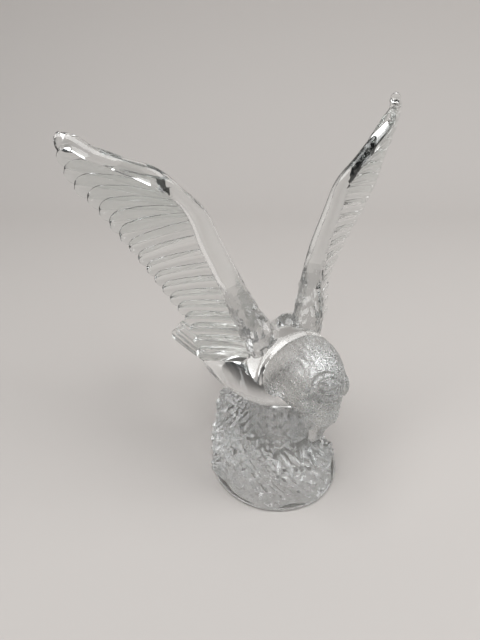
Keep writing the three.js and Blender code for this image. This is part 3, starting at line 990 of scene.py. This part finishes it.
def wing_feathers():
    """Primaries fan from the hand, and secondaries hang in even steps down the arm."""
    shafts = []
    count = PRIMARIES + SECONDARIES
    for i in range(count):
        tip = even(tip_line, i / (count - 1))[0]
        primary = i < PRIMARIES
        order = i / PRIMARIES if primary else (i - PRIMARIES) / (SECONDARIES - 1)
        root = even(bar_line, 0.68 - 0.13 * order if primary else 0.55 - 0.5 * order)[0]
        rise = (PRIMARY_BEND if primary else SECONDARY_BEND) * np.linalg.norm(tip - root)
        widths = (PRIMARY_WIDTHS if primary else SECONDARY_WIDTHS) * FEATHER_HALF_WIDTH
        line, half = shaft(root, tip, rise, widths, FEATHER_END)
        along = unit(tip - root)
        across = unit(np.cross(wing_face, along))
        shafts.append((line, half, turned(across, along, FEATHER_TURN)))
    return feather_row(shafts, FEATHER_HALF_THICKNESS / FEATHER_HALF_WIDTH, FEATHER_EDGE)


VANES = wing_feathers()
print("wing feather faces:", len(VANES[1]))

# %% [markdown]
# ## Tail
# The tail is a flat fan of feathers, fused side by side. One ribbed plate would do from afar, but
# vanes of their own, each a little turned, give the stepped edges that show in the glass. The same
# tree sweeps them.

# %% Tail
TAIL_FEATHERS = 9
TAIL_REACH = 109
TAIL_ARC = 16
TAIL_HALF_WIDTH = 39.5
TAIL_HALF_THICKNESS = 3.8
TAIL_ROOT_FRONT = -26
TAIL_ROOT_HEIGHT = ROCK_SEAT_HEIGHT + 11
TAIL_END_HEIGHT = ROCK_SEAT_HEIGHT + 12
TAIL_FEATHER_END = 0.07
TAIL_FEATHER_EDGE = 0.62
TAIL_FEATHER_TURN = 0.1
TAIL_OVERLAP = 1.35
TAIL_WIDTHS = np.array([0.7, 0.85, 1, 1])


def tail():
    """A flat fan of feathers, each a little turned, so that its edge shows over the next."""
    shafts = []
    middle = (TAIL_FEATHERS - 1) / 2
    half_width = TAIL_HALF_WIDTH / TAIL_FEATHERS * TAIL_OVERLAP
    for i in range(TAIL_FEATHERS):
        spread = (i - middle) / middle
        back = TAIL_REACH - TAIL_ARC * spread ** 2
        tip = at((TAIL_HALF_WIDTH - half_width) * spread, -back, TAIL_END_HEIGHT)
        root = at(BODY_HALF_WIDTH * 0.8 * spread, TAIL_ROOT_FRONT, TAIL_ROOT_HEIGHT)
        line, half = shaft(root, tip, 0, TAIL_WIDTHS * half_width, TAIL_FEATHER_END)
        along = unit(tip - root)
        across = unit(np.cross(along, UPWARDS))
        turn = TAIL_FEATHER_TURN * np.sign(spread)
        shafts.append((line, half, turned(across, along, turn)))
    return feather_row(shafts, TAIL_HALF_THICKNESS / half_width, TAIL_FEATHER_EDGE)


TAIL = tail()
print("tail faces:", len(TAIL[1]))

# %% [markdown]
# ## One casting
# The real thing is poured in one piece. Forms that only overlap would do for an opaque statue, but
# in glass each wall inside bends the light again. A boolean union takes these walls away, and the
# manifold solver does it fast, since every form is closed.

# %% Join
def mesh_of(name, form, finish):
    """An object of the form, with one finish or with one for each face."""
    points, faces = form
    mesh = bpy.data.meshes.new(name)
    mesh.from_pydata((points * MM).tolist(), [], faces)
    for m in FINISHES:
        mesh.materials.append(m)
    mesh.polygons.foreach_set("material_index", np.broadcast_to(finish, len(faces)).tolist())
    mesh.update()
    return bpy.data.objects.new(name, mesh)


forms = [(ROCK, CAST_ROUGH), (torso(), POLISH), (mantle(), POLISH), (NECK, neck_finish)]
forms += [(f, STIPPLE) for f in FACE]
forms += [(f, CAST_ROUGH) for side in (1, -1) for f in leg(side)]
forms += [(TAIL, POLISH)]
wing = [(BAR, bar_finish), (VANES, POLISH)]
forms += wing + [(mirrored(f), finish) for f, finish in wing]
print("loose faces:", sum(len(f[1]) for f, _ in forms))

parts = [mesh_of("form", f, finish) for f, finish in forms]
eagle = parts[0]
eagle.name = "eagle_casting"
scene.collection.objects.link(eagle)
others = bpy.data.collections.new("forms to join")
scene.collection.children.link(others)
for part in parts[1:]:
    others.objects.link(part)
join = eagle.modifiers.new("Join", "BOOLEAN")
join.operation = "UNION"
join.operand_type = "COLLECTION"
join.collection = others
join.solver = "MANIFOLD"
joined = plain_mesh(eagle)
eagle.modifiers.remove(join)
eagle.data = joined
for part in parts[1:]:
    bpy.data.objects.remove(part)
bpy.data.collections.remove(others)
print("joined polygons:", len(joined.polygons))

# %% [markdown]
# ## Shut-in air
# Where forms cross, the union can shut in small pockets of air, and the poured glass has none. A
# remesh would close them, but blur the edges. So each closed shell of faces is measured, and those
# with a volume below zero, which bound air, are taken out.

# %% Fill the shut-in air
SHARP_EDGE = math.radians(38)


def shell_volume(shell):
    """The volume inside a closed run of faces: below zero where they bound shut-in air."""
    total = 0.0
    for f in shell:
        first, *rest = [v.co for v in f.verts]
        total += sum(first.dot(p.cross(q)) for p, q in zip(rest, rest[1:]))
    return total / 6


body = bmesh.new()
body.from_mesh(joined)
seen, inner = set(), []
for start in body.faces:
    if start in seen:
        continue
    shell, stack = [], [start]
    seen.add(start)
    while stack:
        f = stack.pop()
        shell.append(f)
        for e in f.edges:
            for g in e.link_faces:
                if g not in seen:
                    seen.add(g)
                    stack.append(g)
    if shell_volume(shell) <= 0:
        inner += shell
print("faces round shut-in air, taken out:", len(inner))
bmesh.ops.delete(body, geom=inner, context="FACES")
body.to_mesh(joined)
body.free()
joined.shade_smooth()
joined.set_sharp_from_angle(angle=SHARP_EDGE)
print("casting triangles:", sum(len(p.vertices) - 2 for p in joined.polygons))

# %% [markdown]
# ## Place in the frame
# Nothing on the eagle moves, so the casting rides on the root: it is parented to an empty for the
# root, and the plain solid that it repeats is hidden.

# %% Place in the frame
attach(eagle, "root")
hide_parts("crystal_eagle")
print("placed:", eagle.name, "with", len(joined.materials), "finishes")

# %% [markdown]
# ## Floor
# The eagle stands on pale paper that bends up into a plain backdrop. A floor and a wall would do,
# but their corner would show as a line through the glass. The paper lies a little under the glass,
# because two faces in one plane render black.

# %% Floor
def plain(name, color, roughness):
    """A dull material of one colour."""
    made = bpy.data.materials.new(name)
    made.use_nodes = True
    shader = made.node_tree.nodes["Principled BSDF"]
    shader.inputs["Base Color"].default_value = (*color, 1)
    shader.inputs["Roughness"].default_value = roughness
    return made


FLOOR_DROP = 0.0003
FLOOR_REACH = 8
BEND_START = 0.5
BEND_RADIUS = 0.3
BACKDROP_HEIGHT = 3
PALE_PAPER = (0.5, 0.475, 0.455)
VIEW_TURN = math.radians(-31)


def sweep():
    """A pale floor, a little under the glass, that curves up into a plain backdrop behind."""
    r = BEND_RADIUS
    bend = [(r * math.sin(a), r - r * math.cos(a)) for a in np.linspace(0.1, math.pi / 2, 12)]
    profile = [(-FLOOR_REACH, 0), (BEND_START, 0)]
    profile += [(BEND_START + y, z) for y, z in bend] + [(BEND_START + r, BACKDROP_HEIGHT)]
    c, s = math.cos(VIEW_TURN), math.sin(VIEW_TURN)
    corners = [(x, y, z) for y, z in profile for x in (-FLOOR_REACH, FLOOR_REACH)]
    points = [(x * c - y * s, x * s + y * c, z - FLOOR_DROP) for x, y, z in corners]
    faces = [(2 * i, 2 * i + 1, 2 * i + 3, 2 * i + 2) for i in range(len(profile) - 1)]
    mesh = bpy.data.meshes.new("sweep")
    mesh.from_pydata(points, [], faces)
    mesh.shade_smooth()
    mesh.materials.append(plain("Pale paper", PALE_PAPER, 0.9))
    made = bpy.data.objects.new("sweep", mesh)
    scene.collection.objects.link(made)
    return made


sweep()
print("floor reaches", FLOOR_REACH, "m, backdrop bends up over", BEND_RADIUS, "m")

# %% [markdown]
# ## Lights
# Clear glass shows what stands round it. One small lamp would give hard sparks, and an even sky
# none at all. Two soft squares give long highlights on the bars, and a surround darker than the
# paper draws the dark lines along the edges.

# %% Lights
AIM = Vector((0, 0, 0.1))


def area(name, place, size, power):
    """A square light turned to the middle of the eagle."""
    light = bpy.data.lights.new(name, "AREA")
    light.shape = "RECTANGLE"
    light.size = light.size_y = size
    light.energy = power
    made = bpy.data.objects.new(name, light)
    made.location = place
    made.rotation_euler = (AIM - Vector(place)).to_track_quat("-Z", "Y").to_euler()
    scene.collection.objects.link(made)


area("key light", (0.8, -0.75, 0.85), size=0.9, power=11)
area("top light", (-0.5, -0.2, 1.4), size=1.2, power=21)
print("lights:", sorted(light.name for light in bpy.data.lights))
world = bpy.data.worlds.new("Soft room")
world.use_nodes = True
background = world.node_tree.nodes["Background"]
background.inputs["Color"].default_value = (0.72, 0.75, 0.78, 1)
background.inputs["Strength"].default_value = 0.15
scene.world = world

# %% [markdown]
# ## Camera
# The view is from above, on the eagle's right. It could be set by eye, but its place, tilt and
# lens were worked out once from the round foot and the two wings. The limits on bounces are
# raised, because light passes many walls of glass before it comes out.

# %% Camera
VIEW_TILT = math.radians(58)
camera = bpy.data.cameras.new("Camera")
camera.sensor_width = 36
camera.lens = 29.81
camera.clip_start = 0.01
shot = bpy.data.objects.new("Camera", camera)
shot.location = (-0.1693, -0.2305, 0.3)
shot.rotation_euler = (VIEW_TILT, 0, VIEW_TURN)
scene.collection.objects.link(shot)
scene.camera = shot
scene.cycles.max_bounces = 24
scene.cycles.transmission_bounces = 24
scene.cycles.transparent_max_bounces = 16
scene.cycles.glossy_bounces = 12
scene.view_settings.view_transform = "Standard"
print("camera looks down by", round(90 - math.degrees(VIEW_TILT)), "degrees")
